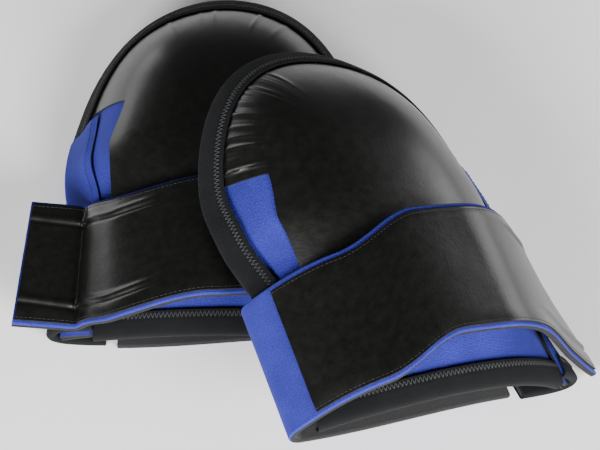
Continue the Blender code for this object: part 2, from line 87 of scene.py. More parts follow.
GAP = 0.0004
BODY_THICKNESS = 0.0030
LINING_THICKNESS = 0.0009
VINYL_THICKNESS = 0.0011
FOAM_EDGE = 0.0006
FOAM_CENTRE = 0.0200
FOAM_REACH = 0.68
FOAM_FOOT_TAPER = 1.08
TAPE_THICKNESS = 0.0011
TAPE_SLACK = 0.0009
TAPE_START = 0.062
TAPE_END = 1.93
ZIGZAG_PITCH = 0.0014
SEAM_PITCH = 0.0030

WING_THICKNESS = 0.0028
WING_CLEARANCE_FOOT = 0.0030
WING_CLEARANCE_TOP = 0.0014
WING_INNER_ACROSS = -0.60
WING_BULGE_FOOT = 0.0086
WING_BULGE_TOP = 0.0010
WING_TOP = 0.200
WING_FLOOR_Z = 0.0018
WING_FLOOR_REACH = 0.0300
WING_FOOT = -0.975
WING_WIDTH = 0.075

STRAP_THICKNESS = 0.0050
STRAP_WIDTH = 0.0940
STRAP_FLAT_END_X = 0.1015
STRAP_FOLD_RADIUS = 0.0075
STRAP_FOLD_END_ANGLE = math.radians(25.0)
FALL_HANDLE = 0.38
TAB_LENGTH = 0.0420
HOOK_WIDTH = 0.0520
HOOK_THICKNESS = 0.0016


def joint(name):
    """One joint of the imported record."""
    return next(j for j in frame["joints"] if j["name"] == name)


def euler_matrix(x, y, z):
    """Rotation matrix as an array."""
    return np.array(Euler((x, y, z), "XYZ").to_matrix())


RIGHT_CREASE = np.array((-0.0835, 0.0372))
RIGHT_BEND = joint("right_tab_bend")["pos_m"]
RIGHT_ORIGIN = np.array((RIGHT_BEND[0] - RIGHT_CREASE[0], joint("right_strap_peel")["pos_m"][1],
                         RIGHT_BEND[2] - RIGHT_CREASE[1]))
PADS = {
    "right": {
        "hand": 1.0,
        "origin": RIGHT_ORIGIN,
        "turn": euler_matrix(0.0, 0.0, 0.0),
        "foot_arch": 0.027,
        "lean": 0.045,
        "peak_shift": 0.016,
        "strap_line": np.array(((-0.0860, -0.0045), (-0.0580, -0.0115), (0.0100, -0.0015),
                                (0.1000, 0.0093))),
        "back_line": np.array(((-0.0600, 0.0000), (0.1000, 0.0093))),
        "climb_handle": 0.380,
        "apex": np.array((0.018, 0.0785)),
        "crease": RIGHT_CREASE,
        "twist": np.array((0.0026, 0.0050)),
        "crease_direction": math.radians(238.0),
        "tab_direction": math.radians(171.0),
        "tab_thigh_direction": math.radians(171.0),
        "tab_thigh_length": 0.0375,
        "seed": 3,
        "margins": (0.0028, 0.0030),
        "notch_edge": (0.42, 0.48, 0.56),
        "back_start": -0.0585,
        "tape_width": 0.0175,
        "gathers": 10,
        "gather_arc": (0.6, 2.2),
        "sewn_reach": 0.075,
        "sewn_lines": (0.0145, 0.0775),
        "crease_dent": 1.0,
    },
    "left": {
        "hand": -1.0,
        "origin": np.array(joint("left_pad_lift")["pos_m"]),
        "turn": euler_matrix(0.056, 0.3683, 0.36),
        "foot_arch": 0.039,
        "lean": 0.080,
        "peak_shift": -0.018,
        "strap_line": np.array(((-0.1220, 0.0045), (-0.0550, 0.0155), (0.0100, 0.0170),
                                (0.0700, -0.0030))),
        "back_line": np.array(((-0.0600, 0.0045), (0.1000, -0.0030))),
        "climb_handle": 0.46,
        "apex": np.array((-0.022, 0.0830)),
        "crease": np.array((-0.0900, 0.0430)),
        "twist": np.array((0.0130, 0.0110)),
        "crease_direction": math.radians(222.0),
        "tab_direction": math.radians(218.0),
        "tab_thigh_direction": math.radians(235.0),
        "tab_thigh_length": 0.0300,
        "seed": 8,
        "margins": (0.0028, 0.0045),
        "notch_edge": (0.486, 0.53, 0.62),
        "back_start": -0.0585,
        "tape_width": 0.0185,
        "gathers": 34,
        "gather_arc": (0.35, 1.25),
        "sewn_reach": 0.048,
        "sewn_lines": (0.0150, 0.0770),
        "crease_dent": 0.0,
    },
}


# ---- small helpers ----------------------------------------------------------------------------
def smooth_step(value):
    """Ease from 0 to 1."""
    clamped = np.clip(value, 0.0, 1.0)
    return clamped * clamped * (3.0 - 2.0 * clamped)


def unit(vectors):
    """Vectors of length one."""
    return vectors / np.maximum(np.linalg.norm(vectors, axis=-1, keepdims=True), 1e-12)


def place(pad, points):
    """Carry points of the right-hand pattern to where this pad lies."""
    local = np.array(points, float)
    local[..., 0] *= pad["hand"]
    return local @ pad["turn"].T + pad["origin"]


# ---- the outer face of the neoprene body ------------------------------------------------------
def bell(cosine, power, squareness):
    """Height of the dome's section from 0 at the edge to 1 on the crown."""
    cosine = np.maximum(cosine, 0.0)
    return cosine ** power * (1.0 + squareness * (1.0 - cosine * cosine))


def body_point(pad, across, along):
    """Points on the body's outer face; across and along run from -1 to 1."""
    across, along = np.broadcast_arrays(np.asarray(across, float), np.asarray(along, float))
    side = np.sin(across * np.pi / 2.0)
    hollow = np.cos(across * np.pi / 2.0)
    foot_share = np.maximum(-along, 0.0)
    to_waist = smooth_step(foot_share / WAIST_SHARE)
    to_foot_width = smooth_step((foot_share - WAIST_SHARE) / (1.0 - WAIST_SHARE))
    width = HALF_WIDTH_DOME + (HALF_WIDTH_WAIST - HALF_WIDTH_DOME) * to_waist
    width = width + (HALF_WIDTH_FOOT - HALF_WIDTH_WAIST) * to_foot_width
    reach = np.sin(np.maximum(along, 0.0) * np.pi / 2.0)
    foot = along < 0.0
    x_plan = np.where(foot, side * width,
                      HALF_WIDTH_DOME * side * np.sqrt(1.0 - reach * reach / 2.0))
    y_top = WIDEST_Y + (PAD_LENGTH - WIDEST_Y) * reach * np.sqrt(1.0 - side * side / 2.0)
    y_plan = np.where(foot, WIDEST_Y * (1.0 + along), y_top)
    thigh = bell(np.cos(np.maximum(along, 0.0) * np.pi / 2.0), EDGE_POWER_DOME, DOME_SQUARENESS)
    rim_rise = smooth_step((y_plan - WIDEST_Y) / (PAD_LENGTH - WIDEST_Y))
    rim_drop = smooth_step((y_plan - RIM_DROP_START_Y) / (RIM_DROP_END_Y - RIM_DROP_START_Y))
    side_z = RIM_Z_STRAP + (RIM_Z_SIDE - RIM_Z_STRAP) * rim_drop
    rim_z = side_z + (RIM_Z_THIGH - side_z) * rim_rise
    foot_rise = 1.0 - np.maximum(1.0 - np.minimum(y_plan / WIDEST_Y, 1.0), 0.0) ** FOOT_RISE_POWER
    crown = pad["foot_arch"] + (DOME_HEIGHT - pad["foot_arch"]) * foot_rise
    to_foot = smooth_step(foot_share)
    power = EDGE_POWER_DOME + (EDGE_POWER_FOOT - EDGE_POWER_DOME) * to_foot
    fullness = bell(hollow, power, DOME_SQUARENESS * (1.0 - to_foot)) * thigh
    lean = pad["lean"] * y_plan
    shift = pad["peak_shift"] * fullness * smooth_step(foot_share * LEAN_ONSET)
    return np.stack([x_plan + lean + shift, y_plan, rim_z + (crown - rim_z) * fullness], axis=-1)


def body_normal(pad, across, along):
    """Outward normals of the body's outer face."""
    step = 0.004
    du = body_point(pad, across + step, along) - body_point(pad, across - step, along)
    dv = body_point(pad, across, along + step) - body_point(pad, across, along - step)
    return unit(np.cross(du, dv))


def foam_thickness(across, along):
    """Thickness of the knee foam: full under the knee and thin towards the edges."""
    side = np.maximum(1.0 - (across / FOAM_REACH) ** 2, 0.0)
    foot_end = 1.0 - smooth_step(-along * FOAM_FOOT_TAPER)
    thigh_end = np.maximum(1.0 - (along / FOAM_REACH) ** 2, 0.0)
    end = np.where(along < 0.0, foot_end, thigh_end)
    return FOAM_EDGE + (FOAM_CENTRE - FOAM_EDGE) * side * end


def stack_depth(across, along):
    """Depth of the lining's leg side below the body's outer face."""
    return BODY_THICKNESS + 2.0 * GAP + foam_thickness(across, along) + LINING_THICKNESS


# ---- mesh making ------------------------------------------------------------------------------
def make_object(name, points, faces, uvs, materials, face_materials=None, pad=None, crease=40.0):
    """A smooth-shaded mesh object from arrays; uvs are metres along the surface, one per point."""
    if pad is not None:
        points = place(pad, points)
        if pad["hand"] < 0.0:
            faces = [tuple(reversed(face)) for face in faces]
    mesh = bpy.data.meshes.new(name)
    mesh.from_pydata([tuple(p) for p in points], [], [tuple(int(i) for i in f) for f in faces])
    for material in materials:
        mesh.materials.append(material)
    if face_materials is not None:
        mesh.polygons.foreach_set("material_index", np.asarray(face_materials, np.int32))
    layer = mesh.uv_layers.new(name="metres")
    corners = np.empty(len(mesh.loops), np.int32)
    mesh.loops.foreach_get("vertex_index", corners)
    layer.data.foreach_set("uv", np.asarray(uvs, np.float32)[corners].ravel())
    mesh.polygons.foreach_set("use_smooth", np.ones(len(mesh.polygons), bool))
    mesh.update()
    mesh.set_sharp_from_angle(angle=math.radians(crease))
    piece = bpy.data.objects.new(name, mesh)
    bpy.context.scene.collection.objects.link(piece)
    return piece


def grid_faces(rows, columns, keep=None):
    """Quads of a grid of rows by columns points."""
    r, c = np.meshgrid(np.arange(rows - 1), np.arange(columns - 1), indexing="ij")
    first = r * columns + c
    quads = np.stack([first, first + 1, first + columns + 1, first + columns], axis=-1)
    if keep is not None:
        return quads[keep]
    return quads.reshape(-1, 4)


def boundary_edges(faces):
    """Directed edges that only one face uses."""
    faces = np.asarray(faces)
    edges = np.concatenate([np.stack([faces[:, k], faces[:, (k + 1) % 4]], 1) for k in range(4)])
    keys = np.sort(edges, axis=1)
    order = np.lexsort((keys[:, 1], keys[:, 0]))
    ordered = keys[order]
    same = np.zeros(len(order), bool)
    twin = (ordered[1:] == ordered[:-1]).all(axis=1)
    same[1:] |= twin
    same[:-1] |= twin
    return edges[order[~same]]


def thick_sheet(name, outer, inner, faces, uvs, materials, pad):
    """Closed sheet between two faces; materials are for the outer face, the edge and the inner."""
    used = np.unique(faces)
    renumber = np.full(len(outer), -1)
    renumber[used] = np.arange(len(used))
    faces = renumber[faces]
    outer, inner, uvs = outer[used], inner[used], uvs[used]
    count = len(used)
    rim = boundary_edges(faces)
    back = faces[:, ::-1] + count
    wall = np.stack([rim[:, 1], rim[:, 0], rim[:, 0] + count, rim[:, 1] + count], axis=1)
    every = np.concatenate([faces, back, wall])
    kinds = np.repeat([0, 2, 1], [len(faces), len(back), len(wall)])
    kinds = np.minimum(kinds, len(materials) - 1)
    points = np.concatenate([outer, inner])
    return make_object(name, points, every, np.concatenate([uvs, uvs]), materials, kinds, pad)


def swept_ring(name, rings, uvs, materials, kinds, pad):
    """Closed skin through equal closed rings; kinds is a material for each side of the ring."""
    stations, around = rings.shape[:2]
    i, k = np.meshgrid(np.arange(stations - 1), np.arange(around), indexing="ij")
    after = (k + 1) % around
    quads = np.stack([i * around + k, i * around + after,
                      (i + 1) * around + after, (i + 1) * around + k], axis=-1).reshape(-1, 4)
    face_kinds = np.tile(kinds, stations - 1)
    faces = [tuple(q) for q in quads]
    face_kinds = list(face_kinds)
    for station, flip in ((0, True), (stations - 1, False)):
        base = station * around
        for k in range(around // 2 - 1):
            quad = (base + k, base + k + 1, base + around - 2 - k, base + around - 1 - k)
            faces.append(tuple(reversed(quad)) if not flip else quad)
            face_kinds.append(max(kinds))
    return make_object(name, rings.reshape(-1, 3), faces, uvs.reshape(-1, 2), materials,
                       face_kinds, pad, crease=50.0)


def outward(piece):
    """Turn every face of a closed piece to face out."""
    bm = bmesh.new()
    bm.from_mesh(piece.data)
    bmesh.ops.recalc_face_normals(bm, faces=bm.faces)
    bm.to_mesh(piece.data)
    bm.free()
    return piece


# ---- materials --------------------------------------------------------------------------------
class Look:
    """A node material under construction."""

    def __init__(self, name):
        self.material = bpy.data.materials.new(name)
        self.material.use_nodes = True
        self.nodes = self.material.node_tree.nodes
        self.links = self.material.node_tree.links
        self.shader = self.nodes["Principled BSDF"]
        self.uv = self.nodes.new("ShaderNodeTexCoord").outputs["UV"]

    def link(self, source, target):
        self.links.new(source, target)

    def noise(self, scale, detail=2.0, rough=0.5):
        """Noise over the surface in features of 1/scale metres."""
        node = self.nodes.new("ShaderNodeTexNoise")
        node.inputs["Scale"].default_value = scale
        node.inputs["Detail"].default_value = detail
        node.inputs["Roughness"].default_value = rough
        self.link(self.uv, node.inputs["Vector"])
        return node.outputs["Fac"]

    def cells(self, scale, feature="F1", smooth=0.0):
        """Distance to cells 1/scale metres apart."""
        node = self.nodes.new("ShaderNodeTexVoronoi")
        node.feature = feature
        node.inputs["Scale"].default_value = scale
        self.link(self.uv, node.inputs["Vector"])
        return node.outputs["Distance"]

    def wave(self, scale, direction="X"):
        """Stripes across the surface."""
        node = self.nodes.new("ShaderNodeTexWave")
        node.bands_direction = direction
        node.inputs["Scale"].default_value = scale
        node.inputs["Distortion"].default_value = 0.6
        node.inputs["Detail"].default_value = 1.0
        self.link(self.uv, node.inputs["Vector"])
        return node.outputs["Fac"]

    def ramp(self, source, stops):
        """Colours along a value."""
        node = self.nodes.new("ShaderNodeValToRGB")
        elements = node.color_ramp.elements
        for element, (position, colour) in zip(elements, stops[:2]):
            element.position = position
            element.color = colour
        for position, colour in stops[2:]:
            element = elements.new(position)
            element.color = colour
        self.link(source, node.inputs["Fac"])
        return node.outputs["Color"]

    def span(self, source, low, high):
        """A value stretched to run from low to high."""
        node = self.nodes.new("ShaderNodeMapRange")
        node.inputs["To Min"].default_value = low
        node.inputs["To Max"].default_value = high
        self.link(source, node.inputs["Value"])
        return node.outputs["Result"]

    def math(self, kind, a, b):
        """Two values combined."""
        node = self.nodes.new("ShaderNodeMath")
        node.operation = kind
        self.link(a, node.inputs[0])
        if isinstance(b, (int, float)):
            node.inputs[1].default_value = b
        else:
            self.link(b, node.inputs[1])
        return node.outputs["Value"]

    def bump(self, source, distance, strength=1.0, before=None):
        """Relief of a height in metres; returns the normal."""
        node = self.nodes.new("ShaderNodeBump")
        node.inputs["Strength"].default_value = strength
        node.inputs["Distance"].default_value = distance
        self.link(source, node.inputs["Height"])
        if before is not None:
            self.link(before, node.inputs["Normal"])
        return node.outputs["Normal"]

    def wear(self, colour, roughness, normal):
        """Link the colour, roughness and relief to the shader."""
        self.link(colour, self.shader.inputs["Base Color"])
        self.link(roughness, self.shader.inputs["Roughness"])
        self.link(normal, self.shader.inputs["Normal"])

    def set(self, **values):
        """Uniform values, straight on the shader."""
        for name, value in values.items():
            self.shader.inputs[name.replace("_", " ")].default_value = value


def neoprene_blue(name):
    """Royal-blue nylon jersey laminated on foam rubber: fine knit, soft mottling."""
    look = Look(name)
    grain = look.noise(900.0, 3.0, 0.65)
    patches = look.noise(45.0, 3.0)
    mix = look.math("ADD", look.math("MULTIPLY", grain, 0.72), look.math("MULTIPLY", patches, 0.28))
    colour = look.ramp(mix, [(0.34, (0.016, 0.017, 0.150, 1)), (0.66, (0.034, 0.038, 0.330, 1)),
                             (0.50, (0.023, 0.026, 0.225, 1))])
    knit = look.math("ADD", look.wave(420.0, "X"), look.wave(300.0, "Y"))
    soft = look.bump(patches, 0.0006)
    look.wear(colour, look.span(grain, 0.72, 0.92),
              look.bump(knit, 0.00012, 0.7, look.bump(grain, 0.00030, 0.8, soft)))
    look.set(Specular_IOR_Level=0.16, Sheen_Weight=0.10, Sheen_Roughness=0.45)
    look.shader.inputs["Sheen Tint"].default_value = (0.30, 0.38, 1.0, 1.0)
    return look.material


def vinyl_black(name):
    """Glossy black vinyl with a fine pebbled emboss and faint scuffs."""
    look = Look(name)
    pebbles = look.cells(620.0)
    dust = look.noise(160.0, 4.0, 0.6)
    broad = look.noise(22.0, 2.0)
    colour = look.ramp(dust, [(0.30, (0.0022, 0.0022, 0.0020, 1)), (0.85, (0.0060, 0.0060, 0.0053, 1))])
    rough = look.math("ADD", look.span(dust, 0.24, 0.36), look.span(broad, -0.05, 0.07))
    soft = look.bump(broad, 0.0012, 0.6)
    look.wear(colour, rough,
              look.bump(pebbles, 0.00006, 0.55, look.bump(dust, 0.00012, 0.5, soft)))
    look.set(Specular_IOR_Level=0.55, Coat_Weight=0.18, Coat_Roughness=0.30)
    return look.material


def tape_black(name):
    """Matte woven binding tape."""
    look = Look(name)
    weave = look.math("MULTIPLY", look.wave(520.0, "X"), look.wave(520.0, "Y"))
    fuzz = look.noise(700.0, 3.0, 0.7)
    wear = look.noise(60.0, 3.0)
    tone = look.math("ADD", look.math("MULTIPLY", fuzz, 0.6), look.math("MULTIPLY", wear, 0.4))
    colour = look.ramp(tone, [(0.30, (0.0022, 0.0026, 0.0030, 1)), (0.80, (0.0085, 0.0095, 0.0105, 1))])
    look.wear(colour, look.span(fuzz, 0.72, 0.95),
              look.bump(weave, 0.00025, 0.8, look.bump(fuzz, 0.0004, 0.6)))
    look.set(Specular_IOR_Level=0.12, Sheen_Weight=0.02, Sheen_Roughness=0.5)
    return look.material


def rubber_black(name):
    """Cut edge and inner skin of closed-cell foam rubber."""
    look = Look(name)
    pores = look.cells(1500.0)
    tone = look.noise(250.0, 3.0)
    colour = look.ramp(tone, [(0.3, (0.0050, 0.0050, 0.0055, 1)), (0.8, (0.016, 0.016, 0.017, 1))])
    look.wear(colour, look.span(tone, 0.70, 0.92),
              look.bump(pores, 0.00015, 0.8))
    look.set(Specular_IOR_Level=0.30)
    return look.material


def lining_black(name):
    """Black knitted lining with a soft nap."""
    look = Look(name)
    ribs = look.wave(330.0, "X")
    fuzz = look.noise(800.0, 3.0, 0.7)
    colour = look.ramp(fuzz, [(0.3, (0.0040, 0.0040, 0.0045, 1)), (0.8, (0.014, 0.014, 0.015, 1))])
    look.wear(colour, look.span(fuzz, 0.85, 1.0),
              look.bump(ribs, 0.0003, 0.7, look.bump(fuzz, 0.0004, 0.6)))
    look.set(Specular_IOR_Level=0.15, Sheen_Weight=0.15, Sheen_Roughness=0.6)
    return look.material


def foam_grey(name):
    """Open cut face of the charcoal knee foam."""
    look = Look(name)
    cells = look.cells(700.0)
    tone = look.noise(120.0, 3.0)
    colour = look.ramp(tone, [(0.3, (0.030, 0.030, 0.032, 1)), (0.8, (0.075, 0.075, 0.078, 1))])
    look.wear(colour, look.span(tone, 0.85, 1.0),
              look.bump(cells, 0.0005, 0.9))
    return look.material


def hook_black(name):
    """Hook tape: rows of stiff little hooks."""
    look = Look(name)
    rows = look.cells(900.0)
    tone = look.noise(300.0, 2.0)
    colour = look.ramp(tone, [(0.3, (0.004, 0.004, 0.004, 1)), (0.8, (0.018, 0.018, 0.018, 1))])
    look.wear(colour, look.span(rows, 0.45, 0.85),
              look.bump(rows, 0.0012, 1.0))
    return look.material


def thread(name, dark, light):
    """Twisted sewing thread."""
    look = Look(name)
    twist = look.wave(900.0, "X")
    colour = look.ramp(twist, [(0.2, dark), (0.8, light)])
    look.wear(colour, look.span(twist, 0.45, 0.7),
              look.bump(twist, 0.0001, 0.6))
    look.set(Specular_IOR_Level=0.45)
    return look.material


BLUE = neoprene_blue("blue_neoprene")
VINYL = vinyl_black("black_vinyl")
TAPE = tape_black("black_binding")
RUBBER = rubber_black("black_rubber_core")
LINING = lining_black("black_lining")
FOAM = foam_grey("knee_foam")
HOOKS = hook_black("hook_tape")
THREAD = thread("black_thread", (0.006, 0.007, 0.008, 1), (0.030, 0.032, 0.035, 1))
PANEL_THREAD = thread("fine_black_thread", (0.003, 0.003, 0.003, 1), (0.010, 0.010, 0.010, 1))
BLUE_THREAD = thread("blue_thread", (0.012, 0.018, 0.12, 1), (0.03, 0.05, 0.26, 1))


# ---- stitches ---------------------------------------------------------------------------------
def stitch_mesh(name, starts, ends, normals, radius, lift, material, pad):
    """Threads from starts to ends, arched out of the surface and sunk at both ends."""
    along = np.array([0.0, 0.18, 0.5, 0.82, 1.0])
    height = np.array([-1.0, 0.55, 1.0, 0.55, -1.0]) * lift
    sides = 6
    turn = np.arange(sides) * 2.0 * np.pi / sides
    run = ends - starts
    direction = unit(run)
    normals = unit(normals)
    across = unit(np.cross(direction, normals))
    centre = starts[:, None] + run[:, None] * along[None, :, None]
    centre = centre + normals[:, None] * height[None, :, None]
    ring = across[:, None, :] * np.cos(turn)[None, :, None]
    ring = (ring + normals[:, None, :] * np.sin(turn)[None, :, None]) * radius
    points = centre[:, :, None, :] + ring[:, None, :, :]
    count, levels = len(starts), len(along)
    block = np.arange(count)[:, None, None] * levels * sides
    i, k = np.meshgrid(np.arange(levels - 1), np.arange(sides), indexing="ij")
    after = (k + 1) % sides
    quads = np.stack([i * sides + k, i * sides + after, (i + 1) * sides + after,
                      (i + 1) * sides + k], axis=-1).reshape(-1, 4)
    faces = (block + quads[None]).reshape(-1, 4)
    length = np.linalg.norm(run, axis=1)
    u = np.broadcast_to(along[None, :, None] * length[:, None, None], (count, levels, sides))
    v = np.broadcast_to(turn[None, None, :] * radius, (count, levels, sides))
    uvs = np.stack([u, v], axis=-1).reshape(-1, 2)
    return make_object(name, points.reshape(-1, 3), faces, uvs, [material], pad=pad, crease=80.0)


def even_stations(points, pitch):
    """Positions at an even pitch along a polyline, as fractional indices."""
    steps = np.linalg.norm(np.diff(points, axis=0), axis=1)
    travelled = np.concatenate([[0.0], np.cumsum(steps)])
    count = max(int(travelled[-1] / pitch), 1)
    return np.interp(np.linspace(0.0, travelled[-1], count + 1), travelled, np.arange(len(points)))


def at_index(points, places):
    """Points at fractional indices of a polyline."""
    grid = np.arange(len(points))
    return np.stack([np.interp(places, grid, points[:, k]) for k in range(3)], axis=1)


def straight_stitches(name, line, normals, pitch, material, pad, radius=0.00028, lift=0.00020):
    """Running stitches along a line on a surface."""
    places = even_stations(line, pitch)
    dots = at_index(line, places)
    ups = at_index(normals, places)
    gap = 0.14
    starts = dots[:-1] + (dots[1:] - dots[:-1]) * gap
    ends = dots[1:] - (dots[1:] - dots[:-1]) * gap
    return stitch_mesh(name, starts, ends, (ups[:-1] + ups[1:]) / 2.0, radius, lift, material, pad)


def zigzag_stitches(name, near, far, normals, pitch, material, pad, radius=0.00030, lift=0.00022):
    """Zig-zag stitches between two lines that run side by side."""
    places = even_stations(near, pitch)
    corners = at_index(near, places)
    corners[1::2] = at_index(far, places)[1::2]
    ups = at_index(normals, places)
    return stitch_mesh(name, corners[:-1], corners[1:], (ups[:-1] + ups[1:]) / 2.0, radius, lift,
                       material, pad)


# ---- walking the rim --------------------------------------------------------------------------
def disc_to_square(x, y):
    """Surface parameters of a place in the round thigh half."""
    root = 2.0 * math.sqrt(2.0)
    u = (np.sqrt(np.maximum(2.0 + x * x - y * y + root * x, 0.0))
         - np.sqrt(np.maximum(2.0 + x * x - y * y - root * x, 0.0))) / 2.0
    v = (np.sqrt(np.maximum(2.0 - x * x + y * y + root * y, 0.0))
         - np.sqrt(np.maximum(2.0 - x * x + y * y - root * y, 0.0))) / 2.0
    return (np.arcsin(np.clip(u, -1, 1)) * 2.0 / np.pi, np.arcsin(np.clip(v, -1, 1)) * 2.0 / np.pi)


def rim_parameters(walk, inward):
    """Surface parameters on a walk round the rim.

    walk runs from -1 at the wing side's foot through 0, the start of the round end, and from 1,
    its other end, to 2 at the folding side's foot. inward runs from 0 at the rim towards the
    middle of the pad.
    """
    walk, inward = np.broadcast_arrays(np.asarray(walk, float), np.asarray(inward, float))
    keep = OUTLINE * (1.0 - inward)
    angle = np.pi * (1.0 - np.clip(walk, 0.0, 1.0))
    round_a, round_b = disc_to_square(keep * np.cos(angle), keep * np.sin(angle))
    side_a = np.arcsin(np.clip(keep, -1, 1)) * 2.0 / np.pi
    below = np.where(walk < 0.0, walk, 1.0 - walk)
    straight = (walk < 0.0) | (walk > 1.0)
    across = np.where(straight, np.where(walk < 0.0, -side_a, side_a), round_a)
    along = np.where(straight, below, round_b)
    return across, along


def rim_strips(pad, walks, distances):
    """Parameters of points at true distances in from the rim, for each place on the walk."""
    tries = np.linspace(0.0, 0.45, 60)
    across, along = rim_parameters(walks[:, None], tries[None, :])
    points = body_point(pad, across, along)
    steps = np.linalg.norm(np.diff(points, axis=1), axis=2)
    travelled = np.concatenate([np.zeros((len(walks), 1)), np.cumsum(steps, axis=1)], axis=1)
    inward = np.stack([np.interp(distances, travelled[i], tries) for i in range(len(walks))])
    return rim_parameters(walks[:, None], inward)


# ---- binding tape -----------------------------------------------------------------------------
def tape_rings(top, under, thickness):
    """Closed rings of a tape folded over an edge.

    top runs over the outer face to the edge and under runs back beneath, both (stations, k, 3)
    and both on the tape's outer skin.
    """
    tip = (top[:, -1] + under[:, 0]) / 2.0
    rise = (top[:, -1] - under[:, 0]) / 2.0
    run = unit(top[:, -1] - top[:, -2]) + unit(under[:, 0] - under[:, 1])
    out = run - unit(rise) * np.sum(run * unit(rise), axis=1, keepdims=True)
    out = unit(out) * np.linalg.norm(rise, axis=1, keepdims=True) * 0.8
    turn = np.linspace(0.0, np.pi, 9)[1:-1]
    edge = tip[:, None] + rise[:, None] * np.cos(turn)[None, :, None]
    edge = edge + out[:, None] * np.sin(turn)[None, :, None]
    skin = np.concatenate([top, edge, under], axis=1)
    tangent = np.empty_like(skin)
    tangent[:, 1:-1] = skin[:, 2:] - skin[:, :-2]
    tangent[:, 0] = skin[:, 1] - skin[:, 0]
    tangent[:, -1] = skin[:, -1] - skin[:, -2]
    travel = np.gradient(skin, axis=0)
    normal = unit(np.cross(tangent, travel))
    middle = skin.mean(axis=1, keepdims=True)
    sign = np.sign(np.sum((skin - middle) * normal, axis=(1, 2), keepdims=True))
    return skin, np.concatenate([skin, (skin - normal * sign * thickness)[:, ::-1]], axis=1)


def tape_piece(name, skin, rings, pad):
    """The tape's solid."""
    run = np.linalg.norm(np.diff(skin.mean(axis=1), axis=0), axis=1)
    u = np.concatenate([[0.0], np.cumsum(run)])
    step = np.linalg.norm(np.diff(rings, axis=1), axis=2).mean(axis=0)
    v = np.concatenate([[0.0], np.cumsum(step)])
    uvs = np.stack(np.broadcast_arrays(u[:, None], v[None, :]), axis=-1)
    return outward(swept_ring(name, rings, uvs, [TAPE], [0] * rings.shape[1], pad))


def rim_tape(side, pad):
    """Rim binding with its zig-zag stitching."""
    walks = np.concatenate([np.linspace(TAPE_START, 1.0, 170, endpoint=False),
                            np.linspace(1.0, TAPE_END, 80)])
    width = pad["tape_width"]
    distances = np.linspace(width, 0.0008, 14)
    across, along = rim_strips(pad, walks, distances)
    face = body_point(pad, across, along)
    normal = body_normal(pad, across, along)
    share = np.linspace(0.0, 1.0, len(distances))
    swell = 0.0007 * np.sin(np.pi * share) ** 0.5 - 0.0005 * np.exp(-((share - 0.26) / 0.10) ** 2)
    over = GAP + VINYL_THICKNESS + TAPE_SLACK + TAPE_THICKNESS + swell
    top = face + normal * over[None, :, None]
    back_distances = np.linspace(0.0008, width * 0.7, 10)
    back_across, back_along = rim_strips(pad, walks, back_distances)
    depth = stack_depth(back_across, back_along) + TAPE_SLACK + TAPE_THICKNESS
    under = body_point(pad, back_across, back_along)
    under = under - body_normal(pad, back_across, back_along) * depth[..., None]
    skin, rings = tape_rings(top, under, TAPE_THICKNESS)
    piece = tape_piece(side + "_rim_tape", skin, rings, pad)
    near = top[:, 2]
    far = top[:, 5]
    stitches = zigzag_stitches(side + "_rim_zigzag", near, far, normal[:, 3], ZIGZAG_PITCH,
                               THREAD, pad)
    return [piece, stitches]


def foot_tape(side, pad):
    """Binding along the arched foot edge."""
    across = np.linspace(-0.60, 0.925, 110)
    distances = np.linspace(0.0125, 0.0004, 12)
    along = -1.0 + distances / WIDEST_Y
    a, b = np.meshgrid(across, along, indexing="ij")
    share = np.linspace(0.0, 1.0, len(distances))
    swell = 0.0005 * np.sin(np.pi * share) ** 0.5 - 0.0004 * np.exp(-((share - 0.3) / 0.12) ** 2)
    over = GAP + TAPE_SLACK + TAPE_THICKNESS + 0.0011 + swell
    normal = body_normal(pad, a, b)
    top = body_point(pad, a, b) + normal * over[None, :, None]
    back = np.linspace(0.0004, 0.0100, 9)
    a2, b2 = np.meshgrid(across, -1.0 + back / WIDEST_Y, indexing="ij")
    depth = stack_depth(a2, b2) + TAPE_SLACK + TAPE_THICKNESS
    under = body_point(pad, a2, b2) - body_normal(pad, a2, b2) * depth[..., None]
    skin, rings = tape_rings(top, under, TAPE_THICKNESS)
    piece = tape_piece(side + "_foot_tape", skin, rings, pad)
    stitches = zigzag_stitches(side + "_foot_zigzag", top[:, 1], top[:, 4], normal[:, 3],
                               ZIGZAG_PITCH, THREAD, pad)
    return [piece, stitches]


# ---- the padded shell -------------------------------------------------------------------------
def shell_uv(a, b):
    """Metres along the shell."""
    return np.stack([a * HALF_WIDTH_DOME * 1.35, b * WIDEST_Y * 1.15], axis=-1)


def shell_layer(name, pad, a, b, top_of, bottom_of, materials):
    """One layer of the shell between two depths."""
    normal = body_normal(pad, a, b)
    face = body_point(pad, a, b)
    outer = face - normal * top_of[..., None]
    inner = face - normal * bottom_of[..., None]
    faces = grid_faces(*a.shape)
    return thick_sheet(name, outer.reshape(-1, 3), inner.reshape(-1, 3), faces,
                       shell_uv(a, b).reshape(-1, 2), materials, pad)


def padded_shell(side, pad):
    """Neoprene body, foam core and lining."""
    edge = 0.928
    a, b = np.meshgrid(np.linspace(-edge, edge, 110), np.linspace(-0.997, edge, 150))
    flat = np.zeros_like(a)
    body = shell_layer(side + "_neoprene", pad, a, b, flat, flat + BODY_THICKNESS,
                       [BLUE, RUBBER, RUBBER])
    low = BODY_THICKNESS + 2.0 * GAP + foam_thickness(a, b)
    lining = shell_layer(side + "_knit_lining", pad, a, b, low, low + LINING_THICKNESS,
                         [RUBBER, LINING, LINING])
    fa, fb = np.meshgrid(np.linspace(-0.66, 0.66, 60), np.linspace(-0.92, 0.66, 80))
    top = np.full_like(fa, BODY_THICKNESS + GAP)
    foam = shell_layer(side + "_foam", pad, fa, fb, top, top + foam_thickness(fa, fb), [FOAM])
    return body, lining, foam


